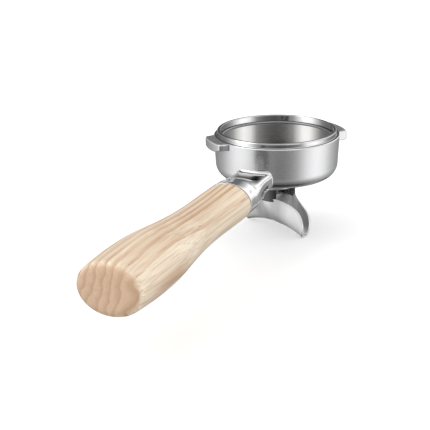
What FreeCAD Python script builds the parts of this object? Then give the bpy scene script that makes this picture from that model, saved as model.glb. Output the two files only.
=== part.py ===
"""Espresso portafilter: a 58 mm class filter holder with a wooden handle and an open double spout.

Row frame in millimetres.  The origin is on the cup's axis in the plane of the rim's top, +Z is
up and the handle points along -Y.  The spout swivels about Z on the outlet nipple.
"""
import FreeCAD, Part
import math
import os

import Sketcher

SHEET = "dims"

# Driving dimensions: alias -> millimetres, or degrees where the name says angle.
DIMENSIONS = {
    # cup
    "rim_inner_radius": 31.4,
    "rim_outer_radius": 33.3,
    "rim_height": 2.7,
    "rim_round": 0.8,
    "cup_radius": 35.0,
    "cup_foot_radius": 34.2,
    "cup_height": 26.5,
    "cup_corner_radius": 8.0,
    "basket_bore_radius": 30.6,
    "floor_thickness": 3.5,
    "floor_corner_radius": 4.0,
    "drain_dish_radius": 24.0,
    "drain_dish_depth": 1.2,
    # basket spring
    "spring_wire_radius": 0.65,
    "spring_ring_radius": 30.8,
    "spring_depth": 4.2,
    "spring_gap_angle": 24.0,
    "groove_clearance": 0.1,
    "groove_outer_radius": 32.0,
    # bayonet ears
    "ear_tip_radius": 40.0,
    "ear_thickness": 5.4,
    "ear_tip_angle": 32.0,
    "ear_root_angle": 38.0,
    "ear_centre_angle": 46.0,
    "ear_root_radius": 33.0,
    "ear_edge_round": 0.8,
    "ear_corner_round": 2.4,
    # outlet
    "boss_radius": 10.8,
    "boss_height": 1.6,
    "nipple_radius": 8.3,
    "nipple_bore_radius": 5.6,
    "nipple_length": 8.6,
    "nipple_engagement": 3.0,
    "spout_washer_thickness": 0.9,
    "spout_washer_radius": 10.2,
    "washer_clearance": 0.15,
    # spout
    "swivel_clearance": 0.05,
    "hub_radius": 10.6,
    "hub_foot": 38.9,
    "hub_window_top": 32.6,
    "hub_window_half_width": 7.4,
    "hub_chamber_radius": 8.6,
    "spout_bulge_radius": 10.9,
    "spout_bulge_blend": 11.5,
    "spout_reach": 24.6,
    "spout_half_width": 4.8,
    "spout_taper_length": 9.0,
    "spout_taper_radius": 12.0,
    "spout_nose_length": 1.2,
    "spout_lip_half_gap": 1.2,
    "spout_wall": 1.5,
    "spout_middle_top": 36.9,
    "spout_saddle_reach": 9.9,
    "spout_saddle_top": 40.1,
    "spout_shoulder_top": 41.0,
    "spout_shoulder_radius": 10.3,
    "spout_keel_crown": 54.4,
    "spout_keel_radius": 54.0,
    "spout_tip_depth": 58.7,
    "spout_section_radius": 4.6,
    "spout_flare_angle": 26.5,
    "spout_floor_thickness": 2.0,
    "divider_thickness": 1.4,
    "divider_top": 38.5,
    "spout_angle": -25.0,
    # neck and collar
    "collar_face": 68.9,
    "collar_length": 11.3,
    "collar_half_width": 13.05,
    "collar_back_half_width": 12.5,
    "section_aspect": 0.776,
    "handle_axis_depth": 22.05,
    "neck_half_width_outer": 10.8,
    "neck_half_width_inner": 9.6,
    "neck_top_outer": 15.4,
    "neck_top_inner": 16.4,
    "neck_bottom_outer": 27.6,
    "neck_bottom_inner": 24.0,
    "neck_root": 29.0,
    "neck_edge_round": 2.4,
    "scoop_half_width": 7.8,
    "scoop_depth": 4.6,
    "scoop_round": 2.2,
    "scoop_end": 52.5,
    "scoop_start": 36.6,
    "flank_slot_height": 2.4,
    "flank_slot_depth": 1.5,
    "flank_slot_start": 38.0,
    "flank_slot_end": 53.5,
    # handle fastening
    "joint_washer_thickness": 0.5,
    "joint_washer_inset": 0.35,
    "stud_radius": 5.0,
    "stud_in_neck": 11.0,
    "stud_in_handle": 30.0,
    "insert_radius": 7.5,
    "insert_length": 26.0,
    "insert_recess": 1.0,
    # wood handle
    "grip_end": 193.3,
    "grip_waist_1": 12.90,
    "grip_waist_2": 12.70,
    "grip_swell_1": 13.25,
    "grip_swell_2": 14.85,
    "grip_swell_3": 16.70,
    "grip_swell_4": 17.00,
    "grip_butt": 15.85,
    "grip_butt_round": 4.2,
}

# The grip's sections between its two end faces, as fractions of its length and their half widths.
GRIP_STATIONS = (
    (0.12, "grip_waist_1"),
    (0.26, "grip_waist_2"),
    (0.40, "grip_swell_1"),
    (0.54, "grip_swell_2"),
    (0.68, "grip_swell_3"),
    (0.84, "grip_swell_4"),
)

X_AXIS = FreeCAD.Vector(1, 0, 0)
Z_AXIS = FreeCAD.Vector(0, 0, 1)


class Size:
    """A number that carries the sheet expression it comes from."""

    def __init__(self, value, text):
        self.value = value
        self.text = text

    def join(self, other, sign, value):
        text = other.text if isinstance(other, Size) else repr(float(other))
        return Size(value, f"({self.text} {sign} {text})")

    def __add__(self, other):
        return self.join(other, "+", self.value + number(other))

    def __sub__(self, other):
        return self.join(other, "-", self.value - number(other))

    def __mul__(self, other):
        return self.join(other, "*", self.value * number(other))

    def __truediv__(self, other):
        return self.join(other, "/", self.value / number(other))

    def __neg__(self):
        return Size(-self.value, f"(0 - {self.text})")


def number(size):
    """The plain value of a Size or of a number."""
    return size.value if isinstance(size, Size) else float(size)


def root(size):
    """The square root of a Size."""
    return Size(math.sqrt(size.value), f"sqrt({size.text})")


def make_sheet(doc):
    """Write the driving dimensions and return them as Sizes by alias."""
    sheet = doc.addObject("Spreadsheet::Sheet", SHEET)
    sizes = {}
    for row, (alias, value) in enumerate(DIMENSIONS.items(), start=1):
        sheet.set(f"A{row}", alias)
        sheet.set(f"B{row}", str(value))
        sheet.setAlias(f"B{row}", alias)
        sizes[alias] = Size(float(value), f"{SHEET}.{alias}")
    doc.recompute()
    return sizes


def bind(obj, **properties):
    """Set each named property and tie it to the sheet."""
    for name, size in properties.items():
        if isinstance(size, Size):
            obj.setExpression(name, size.text)
        else:
            setattr(obj, name, size)
    return obj


def place(obj, position=(0, 0, 0), axis=Z_AXIS, angle=0.0):
    """Turn an object about an axis through the origin and move it, tied to the sheet."""
    base = FreeCAD.Vector(*[number(value) for value in position])
    obj.Placement = FreeCAD.Placement(base, FreeCAD.Rotation(axis, number(angle)))
    for letter, value in zip("xyz", position):
        if isinstance(value, Size):
            obj.setExpression(f"Placement.Base.{letter}", value.text)
    if isinstance(angle, Size):
        obj.setExpression("Placement.Rotation.Angle", angle.text)
    return obj


def origin_plane(body, role):
    """One of a body's own origin planes."""
    return next(item for item in body.Origin.OriginFeatures if item.Role == role)


def arc_centre(start, end, radius, left):
    """Centre of the arc from start to end; left says on which side of the chord it lies."""
    chord = end - start
    half = chord.Length / 2
    reach = math.sqrt(max(radius * radius - half * half, 0.0))
    across = FreeCAD.Vector(-chord.y, chord.x, 0).normalize()
    return (start + end) * 0.5 + across * (reach if left else -reach)


def arc_edge(start, end, radius, left):
    """The shorter arc from start to end about its centre."""
    centre = arc_centre(start, end, radius, left)
    middle = ((start + end) * 0.5 - centre).normalize() * radius + centre
    return Part.Arc(start, middle, end)


def closed_outline(sketch, corners):
    """Close an outline through corners (x, y) or (x, y, radius, centre_on_left).

    A corner's radius belongs to the arc that leaves it.  Every corner and radius is a constraint.
    """
    points = [FreeCAD.Vector(number(corner[0]), number(corner[1]), 0) for corner in corners]
    count = len(corners)
    ends = []
    for index, corner in enumerate(corners):
        start = points[index]
        end = points[(index + 1) % count]
        if len(corner) == 2:
            sketch.addGeometry(Part.LineSegment(start, end))
            ends.append((1, 2))
        else:
            sketch.addGeometry(arc_edge(start, end, number(corner[2]), corner[3]))
            first = sketch.getPoint(index, 1)
            forward = first.distanceToPoint(start) < first.distanceToPoint(end)
            ends.append((1, 2) if forward else (2, 1))
    for index, corner in enumerate(corners):
        after = (index + 1) % count
        joint = Sketcher.Constraint("Coincident", index, ends[index][1], after, ends[after][0])
        sketch.addConstraint(joint)
        for kind, value in (("DistanceX", corner[0]), ("DistanceY", corner[1])):
            constrain(sketch, kind, (index, ends[index][0]), value)
        if len(corner) == 4:
            constrain(sketch, "Radius", (index,), corner[2])
    return sketch


def constrain(sketch, kind, target, value):
    """Add one dimension constraint and tie it to the sheet."""
    place_in_list = sketch.addConstraint(Sketcher.Constraint(kind, *target, number(value)))
    if isinstance(value, Size):
        sketch.setExpression(f"Constraints[{place_in_list}]", value.text)


def body_sketch(body, name, role):
    """A sketch lying on one of the body's origin planes."""
    sketch = body.newObject("Sketcher::SketchObject", name)
    sketch.AttachmentSupport = [(origin_plane(body, role), "")]
    sketch.MapMode = "FlatFace"
    return sketch


def revolved_body(doc, name, corners):
    """A body turned about Z from an outline in the XZ plane."""
    body = doc.addObject("PartDesign::Body", name)
    sketch = body_sketch(body, f"{name}_profile", "XZ_Plane")
    closed_outline(sketch, corners)
    turn = body.newObject("PartDesign::Revolution", f"{name}_turn")
    turn.Profile = sketch
    turn.ReferenceAxis = (sketch, ["V_Axis"])
    turn.Angle = 360.0
    sketch.Visibility = False
    return body


def prism(doc, name, corners, plane, low, high):
    """An outline in a plane (XY or XZ) extruded from low to high along the plane's normal."""
    sketch = doc.addObject("Sketcher::SketchObject", f"{name}_outline")
    if plane == "XZ":
        sketch.Placement = FreeCAD.Placement(FreeCAD.Vector(), FreeCAD.Rotation(X_AXIS, 90))
    closed_outline(sketch, corners)
    solid = doc.addObject("Part::Extrusion", name)
    solid.Base = sketch
    solid.DirMode = "Normal"
    solid.Solid = True
    bind(solid, LengthFwd=high, LengthRev=-low if isinstance(low, Size) else -float(low))
    return solid


def cylinder(doc, name, radius, height, position, axis=Z_AXIS, angle=0.0):
    """A Part cylinder."""
    solid = bind(doc.addObject("Part::Cylinder", name), Radius=radius, Height=height)
    return place(solid, position, axis, angle)


def lengthwise_cylinder(doc, d, name, radius, start, length):
    """A cylinder on the handle's axis from the distance start, running away from the cup."""
    return cylinder(doc, name, radius, length, (0, -start, -d["handle_axis_depth"]), X_AXIS, 90)


def box(doc, name, length, width, height, position):
    """A Part box from its lowest corner."""
    solid = bind(doc.addObject("Part::Box", name), Length=length, Width=width, Height=height)
    return place(solid, position)


def ellipse(doc, name, half_width, half_height, distance, depth):
    """An upright elliptical section at distance along -Y, its centre at the given depth."""
    curve = doc.addObject("Part::Ellipse", name)
    bind(curve, MajorRadius=half_width, MinorRadius=half_height)
    return place(curve, (0, -distance, -depth), X_AXIS, 90)


def loft(doc, name, sections, ruled=False):
    """A closed solid skin through sections."""
    solid = doc.addObject("Part::Loft", name)
    solid.Sections = sections
    solid.Solid = True
    solid.Ruled = ruled
    return solid


def combine(doc, kind, name, first, second):
    """A Part boolean of two objects: Cut, Common or Fuse."""
    result = doc.addObject(f"Part::{kind}", name)
    result.Base = first
    result.Tool = second
    return result


def fuse_all(doc, name, solids):
    """One solid from several."""
    result = doc.addObject("Part::MultiFuse", name)
    result.Shapes = solids
    result.Refine = True
    return result


def rounded(doc, name, base, radius, wanted):
    """Round the edges of base that wanted() picks."""
    doc.recompute()
    picked = [index for index, edge in enumerate(base.Shape.Edges, 1) if wanted(edge)]
    if not picked:
        raise RuntimeError(f"{name}: no edges to round")
    result = doc.addObject("Part::Fillet", name)
    result.Base = base
    result.Edges = [(index, number(radius), number(radius)) for index in picked]
    return result


def label(obj, node):
    """Name a finished sub-part after its node."""
    obj.Label = node
    return obj


def make_cup(doc, d):
    """The turned cup: rim, ledge, bore, spring groove, dished floor and outlet boss."""
    floor = d["cup_height"] - d["floor_thickness"]
    groove = d["spring_wire_radius"] + d["groove_clearance"]
    boss_foot = d["cup_height"] + d["boss_height"]
    drafted = d["cup_foot_radius"]
    corners = [
        (d["nipple_radius"], -boss_foot),
        (d["boss_radius"], -boss_foot),
        (d["boss_radius"], -d["cup_height"]),
        (drafted - d["cup_corner_radius"], -d["cup_height"], d["cup_corner_radius"], True),
        (drafted, -(d["cup_height"] - d["cup_corner_radius"])),
        (d["cup_radius"], -(d["rim_height"] + 0.5), d["rim_round"], True),
        (d["cup_radius"] - 0.5, -d["rim_height"]),
        (d["rim_outer_radius"] + 0.4, -d["rim_height"], d["rim_round"], False),
        (d["rim_outer_radius"], -(d["rim_height"] - 0.4)),
        (d["rim_outer_radius"], -d["rim_round"], d["rim_round"], True),
        (d["rim_outer_radius"] - d["rim_round"], 0.0),
        (d["rim_inner_radius"] + d["rim_round"] * 0.5, 0.0, d["rim_round"] * 0.5, True),
        (d["rim_inner_radius"], -d["rim_round"] * 0.5),
        (d["rim_inner_radius"], -(d["spring_depth"] - groove)),
        (d["groove_outer_radius"], -(d["spring_depth"] - groove)),
        (d["groove_outer_radius"], -(d["spring_depth"] + groove)),
        (d["basket_bore_radius"], -(d["spring_depth"] + groove)),
        (d["basket_bore_radius"], -(floor - d["floor_corner_radius"]), d["floor_corner_radius"], False),
        (d["basket_bore_radius"] - d["floor_corner_radius"], -floor),
        (d["drain_dish_radius"], -floor),
        (d["nipple_bore_radius"], -(floor + d["drain_dish_depth"])),
        (d["nipple_bore_radius"], -(boss_foot - d["nipple_engagement"])),
        (d["nipple_radius"], -(boss_foot - d["nipple_engagement"])),
    ]
    return revolved_body(doc, "cup", corners)


def make_ear(doc, d, name, turn):
    """One bayonet ear: a tapered lug whose top is flush with the ledge below the rim."""
    tip = math.radians(d["ear_tip_angle"].value / 2)
    flank = math.radians(d["ear_root_angle"].value / 2)
    reach = d["ear_tip_radius"]
    skin = d["cup_radius"]
    buried = d["ear_root_radius"]
    corners = [
        (reach * math.cos(tip), -(reach * math.sin(tip)), reach, True),
        (reach * math.cos(tip), reach * math.sin(tip)),
        (skin * math.cos(flank), skin * math.sin(flank)),
        (buried * math.cos(flank), buried * math.sin(flank), buried, False),
        (buried * math.cos(flank), -(buried * math.sin(flank))),
        (skin * math.cos(flank), -(skin * math.sin(flank))),
    ]
    low = -(d["rim_height"] + d["ear_thickness"])
    blank = prism(doc, f"{name}_blank", corners, "XY", low, -d["rim_height"])

    def outer_upright(edge):
        near = min(math.hypot(v.X, v.Y) for v in edge.Vertexes)
        upright = abs(edge.Vertexes[0].Z - edge.Vertexes[-1].Z) > 1
        return near > reach.value - 0.01 and upright

    def tip_rim(edge):
        near = min(math.hypot(v.X, v.Y) for v in edge.Vertexes)
        level = abs(edge.Vertexes[0].Z - edge.Vertexes[-1].Z) < 0.01
        return near > reach.value - 2.6 and level

    corners_off = rounded(doc, f"{name}_corners", blank, d["ear_corner_round"], outer_upright)
    ear = rounded(doc, name, corners_off, d["ear_edge_round"], tip_rim)
    return place(ear, (0, 0, 0), Z_AXIS, turn)


def make_neck(doc, d):
    """The neck between cup and collar: a tapered bar with a scooped top and slotted flanks."""
    bar = doc.addObject("Part::Wedge", "neck_bar")
    bind(
        bar,
        Xmin=-d["neck_half_width_outer"],
        Xmax=d["neck_half_width_outer"],
        Zmin=-d["neck_bottom_outer"],
        Zmax=-d["neck_top_outer"],
        Ymin=-(d["collar_face"] - d["collar_length"] * 0.5),
        X2min=-d["neck_half_width_inner"],
        X2max=d["neck_half_width_inner"],
        Z2min=-d["neck_bottom_inner"],
        Z2max=-d["neck_top_inner"],
        Ymax=-d["neck_root"],
    )

    def lengthwise(edge):
        return abs(edge.Vertexes[0].Y - edge.Vertexes[-1].Y) > 5

    soft_bar = rounded(doc, "neck_bar_soft", bar, d["neck_edge_round"], lengthwise)
    scoop_length = d["scoop_end"] - d["scoop_start"]
    scoop_floor = d["neck_top_inner"] + d["scoop_depth"]
    scoop = box(
        doc,
        "scoop_block",
        d["scoop_half_width"] * 2,
        scoop_length,
        scoop_floor,
        (-d["scoop_half_width"], -d["scoop_end"], -scoop_floor),
    )
    floor_level = -scoop_floor.value

    def around_floor(edge):
        ends = [vertex.Z for vertex in edge.Vertexes]
        on_floor = max(ends) < floor_level + 0.01
        upright = abs(ends[0] - ends[-1]) > 1
        return on_floor or upright

    soft_scoop = rounded(doc, "scoop", scoop, d["scoop_round"], around_floor)
    scooped = combine(doc, "Cut", "neck_scooped", soft_bar, soft_scoop)
    neck = scooped
    slot_length = d["flank_slot_end"] - d["flank_slot_start"]
    slot_low = d["handle_axis_depth"] - d["flank_slot_height"] * 0.4
    slot_inner = d["neck_half_width_inner"] - d["flank_slot_depth"]
    slot_width = d["flank_slot_depth"] * 3
    for side, low_x in (("left", -(slot_inner + slot_width)), ("right", slot_inner)):
        corner = (low_x, -d["flank_slot_end"], -slot_low)
        slot = box(doc, f"slot_{side}", slot_width, slot_length, d["flank_slot_height"], corner)
        neck = combine(doc, "Cut", f"neck_slot_{side}", neck, slot)
    return neck


def make_collar(doc, d):
    """The oval collar that the wood seats against."""
    stations = ((0.0, "collar_half_width"), (0.5, "collar_half_width"), (1.0, "collar_back_half_width"))
    sections = []
    for index, (share, width) in enumerate(stations):
        distance = d["collar_face"] - d["collar_length"] * share
        tall = d[width] * d["section_aspect"]
        name = f"collar_section_{index}"
        sections.append(ellipse(doc, name, d[width], tall, distance, d["handle_axis_depth"]))
    return loft(doc, "collar", sections)


def make_filter_holder(doc, d):
    """The whole casting: cup, two ears, neck and collar, with the handle's threaded socket."""
    cup = make_cup(doc, d)
    ears = [
        make_ear(doc, d, "ear_far", d["ear_centre_angle"]),
        make_ear(doc, d, "ear_near", d["ear_centre_angle"] + 180.0),
    ]
    casting = fuse_all(doc, "casting", [make_neck(doc, d), make_collar(doc, d)])
    clear = d["basket_bore_radius"] + 1.0
    bore = cylinder(doc, "bore_clear", clear, d["cup_height"] * 3, (0, 0, -d["cup_height"] * 2))
    trimmed = combine(doc, "Cut", "casting_trimmed", casting, bore)
    whole = fuse_all(doc, "casting_whole", [cup, trimmed] + ears)
    socket_end = d["collar_face"] - d["stud_in_neck"]
    socket = lengthwise_cylinder(doc, d, "stud_socket", d["stud_radius"], socket_end, d["stud_in_neck"])
    return label(combine(doc, "Cut", "filter_holder_solid", whole, socket), "filter_holder")


def make_basket_spring(doc, d):
    """The open wire ring that snaps into the cup's groove and grips a basket."""
    ring = doc.addObject("Part::Torus", "basket_spring_wire")
    bind(ring, Radius1=d["spring_ring_radius"], Radius2=d["spring_wire_radius"])
    bind(ring, Angle3=Size(360.0, "360") - d["spring_gap_angle"])
    place(ring, (0, 0, -d["spring_depth"]), Z_AXIS, -90.0 + d["spring_gap_angle"].value / 2)
    return label(ring, "basket_spring")


def make_outlet_nipple(doc, d):
    """The threaded tube that carries the spout, screwed into the boss under the cup."""
    top = d["cup_height"] + d["boss_height"] - d["nipple_engagement"]
    foot = top + d["nipple_length"]
    corners = [
        (d["nipple_bore_radius"], -foot),
        (d["nipple_radius"] - 0.6, -foot),
        (d["nipple_radius"], -(foot - 0.6)),
        (d["nipple_radius"], -top),
        (d["nipple_bore_radius"], -top),
    ]
    return label(revolved_body(doc, "nipple", corners), "outlet_nipple")


def make_spout_washer(doc, d):
    """The flat sealing washer between the boss and the spout's hub."""
    top = d["cup_height"] + d["boss_height"]
    foot = top + d["spout_washer_thickness"]
    inner = d["nipple_radius"] + d["washer_clearance"]
    corners = [
        (inner, -foot),
        (d["spout_washer_radius"], -foot),
        (d["spout_washer_radius"], -top),
        (inner, -top),
    ]
    return label(revolved_body(doc, "washer", corners), "spout_washer")


def spout_side(doc, d):
    """The spout's outline from the side: a raised middle, round shoulders and blunt tips."""
    reach = d["spout_reach"]
    curve = d["spout_shoulder_radius"]
    saddle = d["spout_saddle_reach"]
    rise = d["spout_saddle_top"] - d["spout_middle_top"]
    middle = saddle * saddle / (rise * 2) + rise / 2
    corners = [
        (-reach, -d["spout_tip_depth"]),
        (reach, -d["spout_tip_depth"]),
        (reach, -(d["spout_shoulder_top"] + curve), curve, True),
        (reach - curve, -d["spout_shoulder_top"]),
        (saddle, -d["spout_saddle_top"], middle, True),
        (-saddle, -d["spout_saddle_top"]),
        (-(reach - curve), -d["spout_shoulder_top"], curve, True),
        (-reach, -(d["spout_shoulder_top"] + curve)),
    ]
    depth = d["hub_radius"] * 2
    return prism(doc, "spout_side", corners, "XZ", -depth, depth)


def trough(doc, d, name, lift, inset):
    """An arched keel: a round-bottomed flaring section swept about a far axis below the spout.

    Lift raises its bottom above the spout's keel and inset makes its round bottom smaller.
    """
    flare = math.radians(d["spout_flare_angle"].value)
    bottom = d["spout_keel_radius"] + lift
    curve = d["spout_section_radius"] - inset
    side_x = curve * math.cos(flare)
    side_y = bottom + curve * (1 - math.sin(flare))
    top_y = d["spout_keel_radius"] + 27.0
    top_x = side_x + (top_y - side_y) * math.tan(flare)
    body = doc.addObject("PartDesign::Body", name)
    sketch = body_sketch(body, f"{name}_section", "YZ_Plane")
    corners = [(-side_x, side_y, curve, True), (side_x, side_y), (top_x, top_y), (-top_x, top_y)]
    closed_outline(sketch, corners)
    sweep = body.newObject("PartDesign::Revolution", f"{name}_sweep")
    sweep.Profile = sketch
    sweep.ReferenceAxis = (sketch, ["H_Axis"])
    sweep.Midplane = True
    sweep.Angle = 100.0
    sketch.Visibility = False
    return place(body, (0, 0, -(d["spout_keel_crown"] + d["spout_keel_radius"])))


def turned_twice(half):
    """An outline's first half followed by the same corners turned half a turn about the origin."""
    return half + [(-corner[0], -corner[1]) + tuple(corner[2:]) for corner in half]


def spout_plan(doc, d):
    """The spout from above: a round middle blended into two arms that taper to a nose."""
    half = d["spout_half_width"]
    blend = d["spout_bulge_blend"]
    bulge = d["spout_bulge_radius"]
    span = bulge + blend
    offset = half + blend
    blend_x = root(span * span - offset * offset)
    leave_x = blend_x * bulge / span
    leave_y = offset * bulge / span
    taper = d["spout_taper_radius"]
    taper_x = d["spout_reach"] - d["spout_taper_length"]
    run = d["spout_taper_length"] - d["spout_nose_length"]
    nose_x = taper_x + run
    nose_y = root(taper * taper - run * run) - (taper - half)
    nose = (nose_y * nose_y + d["spout_nose_length"] * d["spout_nose_length"]) / (d["spout_nose_length"] * 2)
    corners = [
        (leave_x, -leave_y, blend, False),
        (blend_x, -half),
        (taper_x, -half, taper, True),
        (nose_x, -nose_y, nose, True),
        (nose_x, nose_y, taper, True),
        (taper_x, half),
        (blend_x, half, blend, False),
        (leave_x, leave_y, bulge, True),
    ]
    low = -d["spout_tip_depth"] - 2.0
    return prism(doc, "spout_plan", turned_twice(corners), "XY", low, -d["spout_middle_top"] + 2.0)


def channel_plan(doc, d):
    """The two channels from above: parallel to the arms' walls, open through a slot at each nose."""
    half = d["spout_half_width"] - d["spout_wall"]
    curve = d["spout_taper_radius"] - d["spout_wall"]
    gap = d["spout_lip_half_gap"]
    taper_x = d["spout_reach"] - d["spout_taper_length"]
    across = gap + (d["spout_taper_radius"] - d["spout_half_width"])
    slot_x = taper_x + root(curve * curve - across * across)
    corners = [
        (taper_x, -half, curve, True),
        (slot_x, -gap),
        (d["spout_reach"] + 2.0, -gap),
        (d["spout_reach"] + 2.0, gap),
        (slot_x, gap, curve, True),
        (taper_x, half),
    ]
    low = -d["spout_tip_depth"] - 2.0
    return prism(doc, "channel_plan", turned_twice(corners), "XY", low, -d["spout_middle_top"] + 1.0)


def make_hub(doc, d):
    """The spout's threaded tube with a window over each channel."""
    washer_foot = d["cup_height"] + d["boss_height"] + d["spout_washer_thickness"]
    top = washer_foot + d["swivel_clearance"]
    tube = cylinder(doc, "hub_tube", d["hub_radius"], d["hub_foot"] - top, (0, 0, -d["hub_foot"]))
    half = d["hub_window_half_width"]
    reach = d["hub_radius"] * 2
    height = d["hub_foot"] + 1.0 - d["hub_window_top"]
    corner = (-reach, -half, -(d["hub_foot"] + 1.0))
    windows = box(doc, "hub_windows", reach * 2, half * 2, height, corner)
    return combine(doc, "Cut", "hub", tube, windows)


def make_double_spout(doc, d):
    """The open two-arm spout: the hub over a pair of round-bottomed channels and a low divider."""
    plan = combine(doc, "Common", "spout_block", spout_side(doc, d), spout_plan(doc, d))
    arms = combine(doc, "Common", "arms", plan, trough(doc, d, "outer_trough", 0.0, 0.0))
    blank = fuse_all(doc, "spout_blank", [arms, make_hub(doc, d)])
    foot = d["spout_tip_depth"]
    chamber = cylinder(
        doc, "chamber", d["hub_chamber_radius"], foot - d["hub_window_top"], (0, 0, -foot)
    )
    open_top = fuse_all(doc, "open_top", [channel_plan(doc, d), chamber])
    inner = trough(doc, d, "inner_trough", d["spout_floor_thickness"], d["spout_wall"])
    flow = combine(doc, "Common", "flow", open_top, inner)
    half = d["hub_radius"]
    divider = box(
        doc,
        "divider",
        d["divider_thickness"],
        half * 2,
        foot - d["divider_top"],
        (-d["divider_thickness"] / 2, -half, -foot),
    )
    channels = combine(doc, "Cut", "channels", flow, divider)
    thread_radius = d["nipple_radius"] + d["swivel_clearance"]
    thread = cylinder(doc, "hub_thread", thread_radius, 20.0, (0, 0, -(d["hub_window_top"] + 0.5)))
    voids = fuse_all(doc, "spout_voids", [channels, thread])
    spout = combine(doc, "Cut", "spout_solid", blank, voids)
    place(spout, (0, 0, 0), Z_AXIS, d["spout_angle"])
    return label(spout, "double_spout")


def make_joint_washer(doc, d):
    """The thin dark oval washer between the collar and the wood."""
    half = d["collar_half_width"] - d["joint_washer_inset"]
    tall = d["collar_half_width"] * d["section_aspect"] - d["joint_washer_inset"]
    back = d["collar_face"] + d["joint_washer_thickness"]
    sections = [
        ellipse(doc, f"joint_section_{index}", half, tall, distance, d["handle_axis_depth"])
        for index, distance in enumerate((d["collar_face"], back))
    ]
    blank = loft(doc, "joint_washer_blank", sections, ruled=True)
    hole_radius = d["stud_radius"] + d["washer_clearance"]
    hole = lengthwise_cylinder(doc, d, "joint_washer_hole", hole_radius, d["collar_face"] - 2.0, 6.0)
    return label(combine(doc, "Cut", "joint_washer_solid", blank, hole), "joint_washer")


def make_handle_stud(doc, d):
    """The threaded stud that ties the handle to the neck."""
    length = d["stud_in_neck"] + d["stud_in_handle"]
    start = d["collar_face"] - d["stud_in_neck"]
    rod = lengthwise_cylinder(doc, d, "stud_rod", d["stud_radius"], start, length)
    doc.recompute()
    ends = [index for index, edge in enumerate(rod.Shape.Edges, 1) if len(edge.Vertexes) == 1]
    stud = doc.addObject("Part::Chamfer", "stud_solid")
    stud.Base = rod
    stud.Edges = [(index, 0.8, 0.8) for index in ends]
    return label(stud, "handle_stud")


def make_threaded_insert(doc, d):
    """The brass bush pressed into the wood, threaded for the stud."""
    front = d["collar_face"] + d["joint_washer_thickness"] + d["insert_recess"]
    outer = lengthwise_cylinder(doc, d, "insert_outer", d["insert_radius"], front, d["insert_length"])
    inner = lengthwise_cylinder(
        doc, d, "insert_inner", d["stud_radius"], front - 5.0, d["insert_length"] * 2
    )
    return label(combine(doc, "Cut", "insert_solid", outer, inner), "threaded_insert")


def make_wood_handle(doc, d):
    """The turned and flattened wooden grip, wider than tall, with its bores for stud and insert."""
    front = d["collar_face"] + d["joint_washer_thickness"]
    length = d["grip_end"] - front
    stations = [(0.0, d["collar_half_width"])]
    stations += [(share, d[alias]) for share, alias in GRIP_STATIONS]
    stations.append((1.0, d["grip_butt"]))
    sections = []
    for index, (share, half) in enumerate(stations):
        distance = front + length * share
        tall = half * d["section_aspect"]
        sections.append(ellipse(doc, f"grip_section_{index}", half, tall, distance, d["handle_axis_depth"]))
    grip = loft(doc, "grip_blank", sections)
    butt = -d["grip_end"].value

    def butt_edge(edge):
        return all(abs(vertex.Y - butt) < 0.01 for vertex in edge.Vertexes)

    soft = rounded(doc, "grip_soft", grip, d["grip_butt_round"], butt_edge)
    insert_room = d["insert_recess"] + d["insert_length"]
    insert_bore = lengthwise_cylinder(
        doc, d, "insert_bore", d["insert_radius"], front - 1.0, insert_room + 1.0
    )
    stud_bore = lengthwise_cylinder(
        doc, d, "stud_bore", d["stud_radius"] + 0.5, front, d["stud_in_handle"] + 3.0
    )
    bores = fuse_all(doc, "grip_bores", [insert_bore, stud_bore])
    return label(combine(doc, "Cut", "grip_solid", soft, bores), "wood_handle")


def build():
    """Make the document, check every object and write one STEP file per node."""
    doc = FreeCAD.newDocument("portafilter")
    d = make_sheet(doc)
    makers = (
        make_filter_holder,
        make_basket_spring,
        make_outlet_nipple,
        make_spout_washer,
        make_double_spout,
        make_joint_washer,
        make_handle_stud,
        make_threaded_insert,
        make_wood_handle,
    )
    nodes = [maker(doc, d) for maker in makers]
    doc.recompute()
    for obj in doc.Objects:
        if "Invalid" in obj.State or "Error" in obj.State:
            raise RuntimeError(f"{obj.Name} failed: {obj.State}")
    os.makedirs("parts", exist_ok=True)
    for node in nodes:
        shape = node.Shape
        if shape.isNull() or not shape.isValid():
            raise RuntimeError(f"{node.Label} has no valid shape")
        shape.exportStep(f"parts/{node.Label}.step")
        box_now = shape.BoundBox
        print(
            f"{node.Label}: {len(shape.Solids)} solid, {shape.Volume:.1f} mm3, "
            f"x {box_now.XMin:.1f}..{box_now.XMax:.1f}, y {box_now.YMin:.1f}..{box_now.YMax:.1f}, "
            f"z {box_now.ZMin:.1f}..{box_now.ZMax:.1f}"
        )


build()
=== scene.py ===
import math

import bmesh
import bpy
import numpy as np
from mathutils import Matrix, Vector


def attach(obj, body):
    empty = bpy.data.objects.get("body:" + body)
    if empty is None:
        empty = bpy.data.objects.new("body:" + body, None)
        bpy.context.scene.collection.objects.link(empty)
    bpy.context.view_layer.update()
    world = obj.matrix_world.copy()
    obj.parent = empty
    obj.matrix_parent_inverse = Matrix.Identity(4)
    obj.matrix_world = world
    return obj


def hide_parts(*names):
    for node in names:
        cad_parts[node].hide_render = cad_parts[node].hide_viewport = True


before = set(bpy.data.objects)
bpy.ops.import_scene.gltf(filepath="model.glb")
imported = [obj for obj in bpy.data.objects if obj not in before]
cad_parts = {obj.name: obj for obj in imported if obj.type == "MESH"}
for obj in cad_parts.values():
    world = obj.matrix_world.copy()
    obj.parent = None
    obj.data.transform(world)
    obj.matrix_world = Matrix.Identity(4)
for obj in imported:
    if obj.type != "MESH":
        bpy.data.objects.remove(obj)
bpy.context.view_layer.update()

MM = 0.001

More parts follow.
